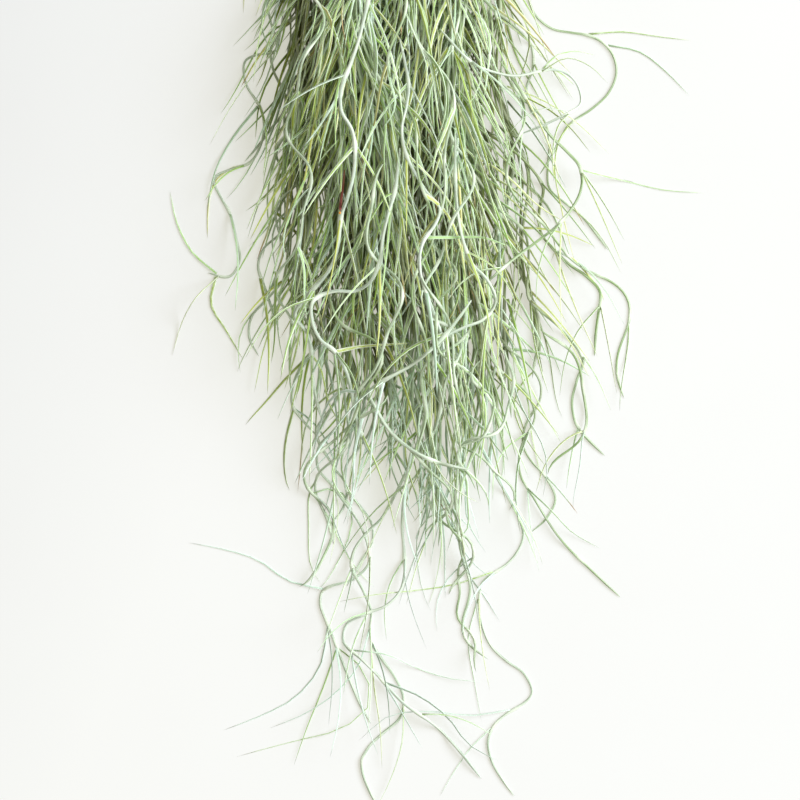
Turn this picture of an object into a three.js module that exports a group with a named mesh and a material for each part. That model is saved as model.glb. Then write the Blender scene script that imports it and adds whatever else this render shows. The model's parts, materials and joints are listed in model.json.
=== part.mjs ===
// Spanish moss: one picked bunch, lying down on a flat surface at z = 0.
// Millimetres, +Z up. The bunch lies along Y, its gathered end at +Y and its free tips at -Y.
import * as THREE from 'three';

// Driving dimensions of a strand's stem and of the sheath at each of its joints
const STEM_RADIUS = 0.7;
const STEM_SIDES = 4;
const STEM_STEP = 10;
const RING_LEAST_GAP = 4.5;
const PLACE_STEP = 0.5;
const SHEATH_RADIUS = 0.95;
const SHEATH_LENGTH = 3;
const JOINT_SPACING = 34;
const JOINT_LEAST_GAP = 20;
const JOINT_FROM_TAIL = 8;
const STRAND_ROOT = { rootRadius: 1, neckGap: 1 };
const LEAVES_PER_JOINT = 2;

// Driving dimensions of a leaf
const LEAF_RADIUS = 0.62;
const LEAF_SIDES = 3;
const LEAF_SEGMENTS = 3;
const LEAF_LENGTH = [40, 62];
const FOLLOWED_LEAF_STEP = 17;
const UPWARD_PULL = 0.2;

// Driving dimensions of a tress: its slim core of matted stems, and its leaves
const CORE_RADIUS = 3.6;
const CORE_HEAD_RADIUS = 2.4;
const CORE_TAIL_RADIUS = 0.9;
const CORE_FULLNESS = 0.6;
const CORE_SIDES = 6;
const CORE_STEP = 24;
const CORE_LOBE_DEPTH = 0.72;
const CORE_TWIST = 0.4;
const CORE_LEAF_BASE = 0.18;
const CORE_ROOT = { rootRadius: 1.4, neckGap: 0.4 };
const PRESSED_FLAT = 0.2;
const FLOOR_TRESSES = 5;
const LEAVES_PER_TRESS = 54;
const TRESS_LEAF_TURN = 5;

// How a seeded leaf grows. Angles are in radians, and the rest are shares.
const LEAF_TRIES = 40;
const LEAF_EASE = 0.012;
const LEAN = [0.35, 0.85];
const FAN = [0.1, 0.6];
const STRAY = [-0.175, 0.175];
const RISE = [-0.18, 0.12];
const BEND = [0.35, 0.85];
const KNEE_SHARE = 0.45;
const FRINGE_WIDTH = 28;
const SEEDED_TAIL = -205;
const HIGHEST_LEAF = 54;

// How close things come, and how steeply a course falls between the things that it lies on
const GAP = 0.25;
const SETTLED = 0.8;
const LOWEST_ROOT = 1;
const FACES_DOWN = -0.9;
const DEEPEST_KNEE = 1;
const STEEPEST_FALL = 0.75;
const FALL_ON_TOP = 0.45;
const DRAPE_STEP = 2.5;
const NECK_SHARE = 0.25;
const LIFT_SHARE = 0.15;
const ROOT_REACH = 1.2;
const ROOT_PLAY = 0.05;
const TINY = 1e-9;

// The dense mass seen from above: y, middle x, half width
const MASS = [
  [228, -20, 22],
  [183, -20, 46],
  [138, -20, 62],
  [93, -17, 65],
  [48, -12, 67],
  [3, -6, 65],
  [-42, -2, 57],
  [-87, -1, 43],
  [-109, -4, 33],
  [-132, -10, 20],
  [-160, -14, 12],
];

// The tresses, lowest first: where across the mass each one starts and ends, as a share of its half width,
// and the y of its gathered head and of its free tail
const TRESSES = [
  { from: -0.85, to: -0.95, head: 204, tail: -36 },
  { from: -0.4, to: -0.55, head: 219, tail: -78 },
  { from: 0.05, to: 0.1, head: 228, tail: -108 },
  { from: 0.45, to: 0.6, head: 216, tail: -72 },
  { from: 0.85, to: 0.95, head: 200, tail: -32 },
  { from: -0.2, to: -0.8, head: 222, tail: -54 },
  { from: -0.75, to: -0.2, head: 209, tail: -86 },
  { from: 0.7, to: 0.25, head: 212, tail: -84 },
  { from: 0.2, to: 0.8, head: 221, tail: -50 },
  { from: -0.55, to: 0.1, head: 206, tail: -94 },
  { from: 0.15, to: -0.5, head: 213, tail: -64 },
  { from: 0.5, to: 0.4, head: 203, tail: -58 },
  { from: -0.3, to: -0.05, head: 208, tail: -76 },
  { from: 0.3, to: 0.15, head: 210, tail: -44 },
];
const TRESS_ROWS = 16;
const TRESS_SWAY = 5;
const TRESS_SWAY_LENGTH = 115;
const TRESS_SWAY_SWELL = 6;
const TRESS_SPREAD = 0.8;

// The single strands, lowest first: the course of each stem in plan, and the leaves that can be followed
// one by one. The rest of a strand's leaves are seeded. The ones on top lie over everything else.
const STRANDS = [
  {
    name: 'strand_tail_left',
    stem: [[-40, -37], [-41, -48], [-49, -58], [-56, -67], [-49, -78], [-42, -88], [-35, -98], [-31, -109],
      [-31, -116], [-37, -122], [-46, -125], [-52, -128], [-53, -133], [-50, -142], [-46, -152],
      [-41, -165], [-35, -179], [-30, -188]],
    leaves: [
      [[-51, -127], [-66, -124], [-83, -113], [-102, -108], [-113, -106]],
      [[-49, -144], [-53, -162], [-63, -175], [-79, -184], [-97, -191]],
      [[-45, -154], [-34, -163], [-29, -174], [-37, -187], [-50, -192], [-73, -198], [-91, -203]],
      [[-45, -154], [-50, -168], [-56, -181], [-60, -193], [-65, -207]],
    ],
  },
  {
    name: 'strand_tail_middle',
    stem: [[-3, -39], [-6, -51], [-10, -64], [-16, -78], [-26, -96], [-35, -105], [-39, -115],
      [-35, -125], [-30, -136], [-30, -149], [-25, -159], [-18, -169], [-15, -179], [-18, -187],
      [-28, -195], [-34, -204], [-33, -213], [-26, -227]],
    leaves: [
      [[-30, -145], [-35, -160], [-41, -169], [-50, -177], [-65, -186], [-76, -190]],
      [[-29, -152], [-29, -168], [-26, -189], [-25, -209]],
      [[-15, -181], [-16, -196], [-20, -210], [-28, -227]],
    ],
  },
  {
    name: 'strand_tail_right',
    stem: [[8, -42], [18, -60], [27, -77], [36, -93], [39, -102], [35, -112], [27, -119], [21, -123],
      [19, -133], [22, -149], [29, -158], [38, -164], [43, -173], [40, -178], [28, -186], [23, -195],
      [25, -206], [35, -221]],
    leaves: [
      [[26, -120], [8, -125], [-12, -128], [-32, -130], [-46, -133]],
      [[19, -132], [14, -146], [16, -164], [20, -187]],
      [[34, -182], [20, -184], [7, -184], [-8, -182], [-21, -184], [-36, -196]],
      [[25, -190], [15, -199], [8, -209], [1, -221]],
    ],
  },
  {
    name: 'strand_tail_inner',
    stem: [[-11, -60], [-14, -78], [-16, -96], [-15, -111], [-15, -123], [-17, -128], [-24, -135],
      [-32, -138], [-41, -143], [-44, -148], [-40, -154], [-35, -158], [-27, -166], [-16, -178], [-2, -188],
      [8, -198], [20, -213]],
    leaves: [
      [[-23, -170], [-12, -173], [-3, -179], [7, -187], [16, -199], [28, -205]],
      [[-38, -155], [-21, -157], [-2, -166], [21, -169]],
    ],
  },
  {
    name: 'strand_edge_left',
    stem: [[-62, 165], [-71, 147], [-77, 138], [-73, 122], [-73, 116], [-85, 114], [-88, 106], [-82, 94],
      [-79, 88], [-79, 77], [-83, 67], [-92, 63], [-99, 62], [-101, 58], [-99, 52], [-94, 43], [-91, 32],
      [-90, 17], [-95, 14], [-104, 16]],
    leaves: [
      [[-81, 92], [-91, 79], [-97, 70], [-101, 60], [-104, 44]],
      [[-104, 16], [-114, 29], [-119, 43], [-121, 53]],
      [[-104, 16], [-105, 9], [-100, -2], [-88, -23]],
      [[-104, 16], [-113, -1], [-120, -22]],
    ],
  },
  {
    name: 'strand_edge_right',
    stem: [[30, 170], [37, 152], [42, 138], [44, 133], [48, 128], [58, 125], [69, 123], [76, 119],
      [81, 111], [80, 103], [75, 94], [65, 87], [58, 81], [53, 71], [46, 60]],
    leaves: [
      [[69, 123], [82, 125], [98, 123], [115, 121]],
      [[76, 119], [89, 117], [101, 109], [114, 96]],
    ],
  },
  {
    name: 'strand_hook_right',
    onTop: true,
    stem: [[28, 111], [37, 98], [46, 84], [55, 73], [62, 67], [65, 61], [64, 51], [60, 44], [54, 37],
      [48, 32], [41, 27], [32, 20], [21, 10]],
    leaves: [
      [[65, 61], [79, 59], [98, 54], [121, 52]],
    ],
  },
  {
    name: 'strand_loop_right',
    onTop: true,
    stem: [[1, 125], [15, 110], [24, 106], [34, 104], [41, 105], [51, 107], [59, 105], [64, 98], [64, 91],
      [58, 87], [50, 83], [37, 78]],
    leaves: [
      [[47, 106], [58, 112], [68, 109], [77, 101]],
    ],
  },
  {
    name: 'strand_low_right',
    stem: [[10, 20], [18, 3], [20, -14], [28, -28], [40, -38], [44, -50], [38, -62], [37, -74], [43, -85],
      [56, -105], [69, -118], [83, -131]],
    leaves: [
      [[41, -82], [53, -93], [63, -103], [74, -109]],
    ],
  },
  {
    name: 'strand_front_left',
    onTop: true,
    stem: [[-27, 156], [-31, 138], [-34, 125], [-38, 111], [-43, 98], [-43, 87], [-38, 78], [-37, 66],
      [-39, 53], [-43, 42], [-45, 26], [-49, 16], [-57, 7], [-63, 0], [-64, -5], [-59, -11], [-57, -19],
      [-56, -35], [-52, -51]],
    leaves: [],
  },
  {
    name: 'strand_front_right',
    onTop: true,
    stem: [[-17, 120], [-13, 98], [-16, 75], [-8, 56], [0, 45], [2, 41], [-4, 33], [-7, 28], [-8, 17],
      [-4, 3], [2, -14], [3, -33]],
    leaves: [
      [[-6, 31], [7, 31], [20, 31], [32, 27]],
    ],
  },
  {
    name: 'strand_front_loop',
    onTop: true,
    stem: [[8, 78], [8, 53], [10, 35], [15, 20], [23, 11], [26, 6], [25, 0], [20, -6], [12, -9], [4, -13],
      [-1, -20], [-2, -33]],
    leaves: [],
  },
  {
    name: 'strand_front_middle',
    onTop: true,
    stem: [[-17, 71], [-19, 53], [-24, 35], [-26, 20], [-32, 9], [-39, 7], [-47, 7], [-53, 5], [-57, 1],
      [-56, -7], [-52, -15], [-46, -20], [-41, -29], [-38, -42], [-35, -55], [-29, -69]],
    leaves: [
      [[-46, -20], [-38, -18], [-26, -17], [-12, -16]],
    ],
  },
  {
    name: 'strand_front_low',
    onTop: true,
    stem: [[15, 3], [7, -8], [-3, -19], [-15, -28], [-26, -34], [-31, -39], [-30, -43], [-26, -48],
      [-21, -56], [-13, -63], [-2, -69], [15, -73]],
    leaves: [
      [[-2, -69], [6, -80], [19, -88]],
    ],
  },
];

// Seeded strands at the fringe: the side each one leaves by, where it starts and how far out it ends
const FRINGE = [
  { side: -1, head: 120, length: 130, out: 20 },
  { side: 1, head: 98, length: 120, out: 30 },
  { side: -1, head: 62, length: 120, out: 14 },
  { side: 1, head: 48, length: 115, out: 30 },
  { side: -1, head: 12, length: 110, out: 12 },
  { side: 1, head: -2, length: 100, out: 16 },
  { side: -1, head: 176, length: 110, out: 10 },
  { side: 1, head: 182, length: 100, out: 12 },
  { side: -1, head: -36, length: 90, out: 6 },
  { side: 1, head: 146, length: 120, out: 24 },
  { side: -1, head: 88, length: 110, out: 26 },
];
const FRINGE_ROWS = 8;
const FRINGE_START = 0.55;
const FRINGE_SPREAD = 0.3;
const FRINGE_SWAY = 7;
const FRINGE_SWAY_LENGTH = 52;

// The first seed of each kind of piece
const FRINGE_SEED = 300;
const TRESS_SEED = 100;
const STRAND_SEED = 500;
const TOP_STRAND_SEED = 530;
const FRINGE_STRAND_SEED = 560;

// A seeded random number generator, so that every build is the same
function seeded(seed) {
  let state = seed;
  return () => {
    state = (state + 0x6d2b79f5) | 0;
    let mixed = Math.imul(state ^ (state >>> 15), state | 1);
    mixed ^= mixed + Math.imul(mixed ^ (mixed >>> 7), mixed | 61);
    return ((mixed ^ (mixed >>> 14)) >>> 0) / 2 ** 32;
  };
}

// A random number between two limits
function between([least, most], random) {
  return least + (most - least) * random();
}

// The middle x and the half width of the mass at one y
function massAt(y) {
  let row = 0;
  while (row < MASS.length - 2 && MASS[row + 1][0] > y) row += 1;
  const [y0, middle0, half0] = MASS[row];
  const [y1, middle1, half1] = MASS[row + 1];
  const share = THREE.MathUtils.clamp((y0 - y) / (y0 - y1), 0, 1);
  return {
    middle: THREE.MathUtils.lerp(middle0, middle1, share),
    half: THREE.MathUtils.lerp(half0, half1, share),
  };
}

// Everything already in place, as straight stretches with a radius
const laid = [];

function makeStretch(a, b, radius, owner, leaf) {
  const middle = a.clone().lerp(b, 0.5);
  return { a, b, radius, owner, leaf, middle, reach: a.distanceTo(b) / 2 + radius };
}

// The distance between two straight stretches
function stretchDistance(first, second) {
  const along = first.b.clone().sub(first.a);
  const other = second.b.clone().sub(second.a);
  const offset = second.a.clone().sub(first.a);
  const aa = along.dot(along);
  const bb = other.dot(other);
  const ab = along.dot(other);
  const af = along.dot(offset);
  const bf = other.dot(offset);
  const spread = aa * bb - ab * ab;
  let s = spread > TINY ? THREE.MathUtils.clamp((af * bb - ab * bf) / spread, 0, 1) : 0;
  let t = (ab * s - bf) / bb;
  if (t < 0 || t > 1) {
    t = THREE.MathUtils.clamp(t, 0, 1);
    s = THREE.MathUtils.clamp((ab * t + af) / aa, 0, 1);
  }
  const onFirst = first.a.clone().addScaledVector(along, s);
  const onSecond = second.a.clone().addScaledVector(other, t);
  return onFirst.distanceTo(onSecond);
}

function pointDistance(point, part) {
  const line = new THREE.Line3(part.a, part.b);
  return line.closestPointToPoint(point, true, new THREE.Vector3()).distanceTo(point);
}

// Whether a stretch is part of the stem right at a leaf's root
function isAtRoot(part, root) {
  return !part.leaf && pointDistance(root, part) < part.radius + ROOT_REACH;
}

// Whether a new leaf's stretch is clear of everything in place, apart from the stem right at its own root
function isClear(stretch) {
  for (const part of laid) {
    const reach = stretch.reach + part.reach + GAP;
    if (stretch.middle.distanceToSquared(part.middle) > reach * reach) continue;
    let needed = stretch.radius + part.radius + GAP;
    if (part.owner === stretch.owner && stretch.root) {
      const stem = isAtRoot(part, stretch.root);
      const neighbour = part.root && part.root.distanceTo(stretch.root) < SHEATH_LENGTH;
      if (stretch.neckGap && neighbour && part.neckGap) continue;
      if (stretch.neckGap && stem) {
        if (pointDistance(stretch.b, part) < part.radius + stretch.neckGap) return false;
        continue;
      }
      if (stem) needed = Math.min(needed, pointDistance(stretch.a, part) - ROOT_PLAY);
    }
    if (stretchDistance(stretch, part) < needed) return false;
  }
  return true;
}

// The lowest height at which a round stretch of this radius rests on what lies there, or else on the floor
function restingHeight(x, y, radius, floorHeight, ignored, steepness) {
  let height = floorHeight;
  for (const part of laid) {
    if (ignored(part)) continue;
    const dx = part.b.x - part.a.x;
    const dy = part.b.y - part.a.y;
    const run = Math.hypot(dx, dy) + TINY;
    const share = ((x - part.a.x) * dx + (y - part.a.y) * dy) / (run * run);
    const t = THREE.MathUtils.clamp(share, 0, 1);
    const away = Math.hypot(x - part.a.x - dx * t, y - part.a.y - dy * t);
    const reach = radius + part.radius + GAP;
    if (away >= reach) continue;
    const slope = Math.min(Math.abs(part.b.z - part.a.z) / run, 1);
    const lift = Math.sqrt(reach * reach - away * away) * Math.hypot(1, slope) * steepness;
    height = Math.max(height, THREE.MathUtils.lerp(part.a.z, part.b.z, t) + lift);
  }
  return height;
}

// Lays a course given in plan over what is already in place, and returns the centres of its rings.
// It falls no steeper than a stem would, and a course with a root starts at that root's height.
function drape(plan, radii, floorHeights, options = {}) {
  const { fall = STEEPEST_FALL, ignored = () => false, root = null } = options;
  const heights = [...floorHeights];
  const steepness = root ? Math.hypot(1, fall) : 1;
  for (let ring = 0; ring < plan.length - 1; ring += 1) {
    const samples = Math.ceil(plan[ring].distanceTo(plan[ring + 1]) / DRAPE_STEP);
    const radius = Math.max(radii[ring], radii[ring + 1]);
    for (let sample = 0; sample <= samples; sample += 1) {
      const share = sample / samples;
      const point = plan[ring].clone().lerp(plan[ring + 1], share);
      const height = restingHeight(point.x, point.y, radius, floorHeights[ring], ignored, steepness);
      if (root && ring === 0) {
        if (share > LIFT_SHARE) heights[1] = Math.max(heights[1], root.z + (height - root.z) / share);
        continue;
      }
      heights[ring] = Math.max(heights[ring], height);
      heights[ring + 1] = Math.max(heights[ring + 1], height);
    }
  }
  if (root) heights[0] = root.z;
  const along = [0];
  for (let ring = 1; ring < plan.length; ring += 1) {
    along.push(along[ring - 1] + plan[ring].distanceTo(plan[ring - 1]));
  }
  return plan.map((point, ring) => {
    if (root && ring === 0) return root.clone();
    const levels = heights.map((height, other) => {
      return height - Math.abs(along[ring] - along[other]) * fall;
    });
    return new THREE.Vector3(point.x, point.y, Math.max(...levels));
  });
}

// A smooth curve through hand-placed points in plan
function planCurve(points) {
  const flat = points.map(([x, y]) => new THREE.Vector3(x, y, 0));
  return new THREE.CatmullRomCurve3(flat, false, 'centripetal');
}

// The direction of a course at each of its rings
function tangentsOf(centres) {
  return centres.map((centre, ring) => {
    const before = centres[Math.max(ring - 1, 0)];
    const after = centres[Math.min(ring + 1, centres.length - 1)];
    return after.clone().sub(before).normalize();
  });
}

// One ring of corners, counter-clockwise seen from ahead, none of them below the floor
function addRing(body, centre, tangent, across, cornerRadii, turn) {
  const side = tangent.clone().cross(across);
  return cornerRadii.map((radius, corner) => {
    const angle = turn + (corner * 2 * Math.PI) / cornerRadii.length;
    const point = centre.clone();
    point.addScaledVector(across, radius * Math.cos(angle));
    point.addScaledVector(side, radius * Math.sin(angle));
    point.z = Math.max(point.z, 0);
    return body.corners.push(point) - 1;
  });
}

// The band of facets from one ring to the next, or from a ring to a pointed tip
function addBand(body, ring, next) {
  const band = [];
  ring.forEach((corner, index) => {
    const after = (index + 1) % ring.length;
    if (next.length === 1) {
      band.push({ corners: [corner, ring[after], next[0]] });
    } else {
      band.push({ corners: [corner, ring[after], next[after]] });
      band.push({ corners: [corner, next[after], next[index]] });
    }
  });
  body.facets.push(...band);
  return band;
}

// A stem or a core: rings along its course, a flat head and a pointed tail
function addStem(body, centres, ringRadii, startTurn, twist) {
  const tangents = tangentsOf(centres);
  const across = new THREE.Vector3(0, 0, 1);
  const rings = centres.slice(0, -1).map((centre, ring) => {
    across.addScaledVector(tangents[ring], -across.dot(tangents[ring])).normalize();
    return addRing(body, centre, tangents[ring], across, ringRadii[ring], startTurn + twist * ring);
  });
  rings.push([body.corners.push(centres[centres.length - 1].clone()) - 1]);
  for (let corner = 1; corner < rings[0].length - 1; corner += 1) {
    body.facets.push({ corners: [rings[0][0], rings[0][corner + 1], rings[0][corner]] });
  }
  return rings.slice(1).map((ring, index) => addBand(body, rings[index], ring));
}

function facetMiddle(body, facet) {
  const [a, b, c] = facet.corners.map((corner) => body.corners[corner]);
  return a.clone().add(b).add(c).divideScalar(3);
}

function facetNormal(body, facet) {
  const [a, b, c] = facet.corners.map((corner) => body.corners[corner]);
  return b.clone().sub(a).cross(c.clone().sub(a)).normalize();
}

// The direction of a band, from the middle of its first ring to the middle of its second
function bandTangent(body, band) {
  const first = new THREE.Vector3();
  const second = new THREE.Vector3();
  for (const facet of band) {
    first.add(body.corners[facet.corners[0]]);
    second.add(body.corners[facet.corners[2]]);
  }
  return second.sub(first).normalize();
}

// A leaf drawn out of one facet of its stem. A base share under 1 takes only the middle of the facet.
function addLeaf(body, facet, centres, radii, baseShare) {
  const root = facetMiddle(body, facet);
  let loop = facet.corners;
  body.facets.splice(body.facets.indexOf(facet), 1);
  if (baseShare < 1) {
    loop = facet.corners.map((corner) => {
      const inner = root.clone().lerp(body.corners[corner], baseShare);
      return body.corners.push(inner) - 1;
    });
    addBand(body, facet.corners, loop);
  }
  const tangents = tangentsOf(centres);
  const across = body.corners[loop[0]].clone().sub(root);
  across.addScaledVector(tangents[0], -across.dot(tangents[0])).normalize();
  const side = tangents[0].clone().cross(across);
  let cosine = 0;
  let sine = 0;
  loop.forEach((corner, index) => {
    const offset = body.corners[corner].clone().sub(root);
    const angle = Math.atan2(offset.dot(side), offset.dot(across)) - (index * 2 * Math.PI) / LEAF_SIDES;
    cosine += Math.cos(angle);
    sine += Math.sin(angle);
  });
  const turn = Math.atan2(sine, cosine);
  for (let ring = 1; ring < centres.length - 1; ring += 1) {
    across.addScaledVector(tangents[ring], -across.dot(tangents[ring])).normalize();
    const cornerRadii = new Array(LEAF_SIDES).fill(radii[ring]);
    const next = addRing(body, centres[ring], tangents[ring], across, cornerRadii, turn);
    addBand(body, loop, next);
    loop = next;
  }
  const tip = centres[centres.length - 1].clone();
  addBand(body, loop, [body.corners.push(tip) - 1]);
}

// The radii along a leaf, from its root to its point
function leafRadii(segments) {
  const radii = [];
  for (let ring = 0; ring <= segments; ring += 1) {
    radii.push(LEAF_RADIUS * Math.sqrt(Math.min(1, (segments - ring) / (segments - 1))));
  }
  return radii;
}

// A leaf's stretches. Its first one is split at the neck, where the leaf still lies against its stem.
function leafStretches(centres, radii, owner, { rootRadius, neckGap }) {
  const neckEnd = centres[0].clone().lerp(centres[1], NECK_SHARE);
  const points = [centres[0], neckEnd, ...centres.slice(1)];
  return points.slice(1).map((point, index) => {
    const radius = index < 2 ? rootRadius : radii[index - 1];
    const stretch = makeStretch(points[index], point, radius, owner, true);
    if (index < 2) stretch.root = centres[0];
    if (index === 0) stretch.neckGap = neckGap;
    return stretch;
  });
}

// A seeded leaf on one facet: it leaves the stem at a lean and then bends over to hang with the bunch.
// Its course is drawn again, on other facets too, until it is clear of everything else.
function growLeaf(piece, band, start) {
  const { random, body } = piece;
  const tangent = bandTangent(body, band);
  for (let attempt = 0; attempt < LEAF_TRIES; attempt += 1) {
    const facet = band[(start + attempt) % band.length];
    const lean = between(LEAN, random);
    const length = between(LEAF_LENGTH, random) * (1 - LEAF_EASE * attempt);
    const fan = piece.outward * between(FAN, random) + between(STRAY, random);
    const rise = between(RISE, random);
    const bend = between(BEND, random);
    if (facet.taken) continue;
    const root = facetMiddle(body, facet);
    const normal = facetNormal(body, facet);
    if (root.z < LOWEST_ROOT || normal.z < FACES_DOWN) continue;
    const outward = normal.clone().addScaledVector(tangent, -normal.dot(tangent)).normalize();
    const first = tangent.clone().multiplyScalar(Math.cos(lean)).addScaledVector(outward, Math.sin(lean));
    const hang = new THREE.Vector3(fan, -1, rise).normalize();
    const last = first.clone().multiplyScalar(1 - bend).addScaledVector(hang, bend).normalize();
    const knee = root.clone().addScaledVector(first, length * KNEE_SHARE);
    const tip = knee.clone().addScaledVector(last, length * (1 - KNEE_SHARE));
    const { middle, half } = massAt(tip.y);
    if (Math.abs(tip.x - middle) > half + FRINGE_WIDTH || tip.y < SEEDED_TAIL) continue;
    if (knee.z < -DEEPEST_KNEE || Math.max(knee.z, tip.z) > HIGHEST_LEAF) continue;
    knee.z = Math.max(knee.z, LEAF_RADIUS);
    tip.z = Math.max(tip.z, LEAF_RADIUS);
    const centres = new THREE.QuadraticBezierCurve3(root, knee, tip).getPoints(LEAF_SEGMENTS);
    const radii = leafRadii(LEAF_SEGMENTS);
    const stretches = leafStretches(centres, radii, piece.name, piece.root);
    if (!stretches.every((stretch) => isClear(stretch))) continue;
    facet.taken = true;
    laid.push(...stretches);
    addLeaf(body, facet, centres, radii, piece.baseShare);
    return;
  }
}

// The stretches of a stem or a core
function stemStretches(centres, ringRadii, owner) {
  return centres.slice(1).map((centre, segment) => {
    const radius = Math.max(...ringRadii[segment], ...ringRadii[segment + 1]);
    return makeStretch(centres[segment], centre, radius, owner, false);
  });
}

// The tresses: bundles of matted stems, each a slim twisted core. The lowest ones are pressed flat below.
function layTress(tress, index) {
  const random = seeded(TRESS_SEED + index);
  const phase = 2 * Math.PI * random();
  const onFloor = index < FLOOR_TRESSES;
  const points = [];
  const length = tress.head - tress.tail;
  for (let row = 0; row <= TRESS_ROWS; row += 1) {
    const share = row / TRESS_ROWS;
    const y = tress.head - share * length;
    const { middle, half } = massAt(y);
    const eased = THREE.MathUtils.smoothstep(share, 0, 1);
    const across = THREE.MathUtils.lerp(tress.from, tress.to, eased) * half * TRESS_SPREAD;
    const swell = TRESS_SWAY * Math.sin(share * TRESS_SWAY_SWELL);
    const sway = swell * Math.sin((2 * Math.PI * y) / TRESS_SWAY_LENGTH + phase);
    points.push([middle + across + sway, y]);
  }
  const curve = planCurve(points);
  const plan = curve.getSpacedPoints(Math.round(curve.getLength() / CORE_STEP));
  const radii = plan.map((point, ring) => {
    const share = ring / (plan.length - 1);
    const slim = THREE.MathUtils.lerp(CORE_HEAD_RADIUS, CORE_TAIL_RADIUS, share);
    return slim + (CORE_RADIUS - slim) * Math.sin(Math.PI * share) ** CORE_FULLNESS;
  });
  const ringRadii = radii.map((radius) => {
    const hollow = onFloor ? radius : radius * CORE_LOBE_DEPTH;
    return Array.from({ length: CORE_SIDES }, (_, corner) => (corner % 2 ? hollow : radius));
  });
  const name = `tress_${String(index + 1).padStart(2, '0')}`;
  const floorHeights = radii.map((radius) => radius * (onFloor ? 1 - PRESSED_FLAT : 1));
  const centres = drape(plan, radii, floorHeights);
  laid.push(...stemStretches(centres, ringRadii, name));
  const body = { corners: [], facets: [] };
  const bands = addStem(body, centres, ringRadii, Math.PI / CORE_SIDES, onFloor ? 0 : CORE_TWIST);
  const outward = (tress.from + tress.to) / 2;
  return { name, random, body, bands, outward, baseShare: CORE_LEAF_BASE, root: CORE_ROOT };
}

// Where a strand's stem has its rings: evenly along it, and two at each joint, where the leaf sheath is
function ringPlaces(length, joints) {
  const count = Math.round(length / STEM_STEP);
  const places = [];
  for (let ring = 0; ring <= count; ring += 1) {
    const place = (ring / count) * length;
    const isEnd = ring === 0 || ring === count;
    if (isEnd || joints.every((joint) => Math.abs(joint - place) > RING_LEAST_GAP)) places.push(place);
  }
  for (const joint of joints) places.push(joint - SHEATH_LENGTH / 2, joint + SHEATH_LENGTH / 2);
  return places.sort((a, b) => a - b);
}

// The place along a curve that is nearest to a point in plan
function nearestPlace(curve, [x, y]) {
  const length = curve.getLength();
  let best = { place: 0, away: Infinity };
  for (let place = RING_LEAST_GAP; place <= length - RING_LEAST_GAP; place += PLACE_STEP) {
    const point = curve.getPointAt(place / length);
    const away = Math.hypot(point.x - x, point.y - y);
    if (away < best.away) best = { place, away };
  }
  return best.place;
}

// The single strands: a thin wiry stem with a sheath at each joint, and the leaves that are followed
function layStrand(strand, seed) {
  const { name } = strand;
  const curve = planCurve(strand.stem);
  const length = curve.getLength();
  const leafJoints = strand.leaves.map((leaf) => nearestPlace(curve, leaf[0]));
  const joints = [];
  for (const place of leafJoints) {
    if (joints.every((joint) => Math.abs(joint - place) > 2 * SHEATH_LENGTH)) joints.push(place);
  }
  for (let place = JOINT_LEAST_GAP; place < length - JOINT_FROM_TAIL; place += JOINT_SPACING) {
    if (joints.every((joint) => Math.abs(joint - place) > JOINT_LEAST_GAP)) joints.push(place);
  }
  const places = ringPlaces(length, joints);
  const plan = places.map((place) => curve.getPointAt(place / length));
  const isSheath = (place) => joints.some((joint) => Math.abs(joint - place) < SHEATH_LENGTH);
  const radii = places.map((place) => (isSheath(place) ? SHEATH_RADIUS : STEM_RADIUS));
  const ringRadii = radii.map((radius) => new Array(STEM_SIDES).fill(radius));
  const floorHeights = radii.map((radius) => radius * SETTLED);
  const centres = drape(plan, radii, floorHeights, { fall: strand.onTop ? FALL_ON_TOP : STEEPEST_FALL });
  laid.push(...stemStretches(centres, ringRadii, name));
  const body = { corners: [], facets: [] };
  const bands = addStem(body, centres, ringRadii, Math.PI / STEM_SIDES, 0);
  const jointBands = joints.sort((a, b) => a - b).map((joint) => {
    return bands[places.findIndex((place) => joint - place < SHEATH_LENGTH)];
  });
  strand.leaves.forEach((leaf, order) => {
    const nearest = joints.reduce((best, joint) => {
      return Math.abs(joint - leafJoints[order]) < Math.abs(best - leafJoints[order]) ? joint : best;
    });
    const band = jointBands[joints.indexOf(nearest)];
    layFollowedLeaf(body, band, leaf, name);
  });
  const tail = strand.stem[strand.stem.length - 1];
  const { middle, half } = massAt(tail[1]);
  const outward = THREE.MathUtils.clamp((tail[0] - middle) / half, -1, 1);
  const random = seeded(seed);
  return { name, random, body, jointBands, outward, baseShare: 1, root: STRAND_ROOT };
}

// A leaf that can be followed: it grows from the free facet of its joint that faces its way most
function layFollowedLeaf(body, band, leaf, owner) {
  const free = band.filter((facet) => !facet.taken);
  const rough = facetMiddle(body, free[0]);
  const way = new THREE.Vector3(leaf[1][0] - rough.x, leaf[1][1] - rough.y, 0).normalize();
  const facing = (facet) => facetNormal(body, facet).dot(way) + UPWARD_PULL * facetNormal(body, facet).z;
  const facet = free.reduce((best, other) => (facing(other) > facing(best) ? other : best));
  facet.taken = true;
  const root = facetMiddle(body, facet);
  const curve = planCurve([[root.x, root.y], ...leaf.slice(1)]);
  const segments = Math.max(LEAF_SEGMENTS, Math.round(curve.getLength() / FOLLOWED_LEAF_STEP));
  const plan = curve.getSpacedPoints(segments);
  const radii = leafRadii(segments);
  const floorHeights = plan.map(() => LEAF_RADIUS * SETTLED);
  const ignored = (part) => part.owner === owner && isAtRoot(part, root);
  const centres = drape(plan, radii, floorHeights, { ignored, root });
  laid.push(...leafStretches(centres, radii, owner, STRAND_ROOT));
  addLeaf(body, facet, centres, radii, 1);
}

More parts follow.
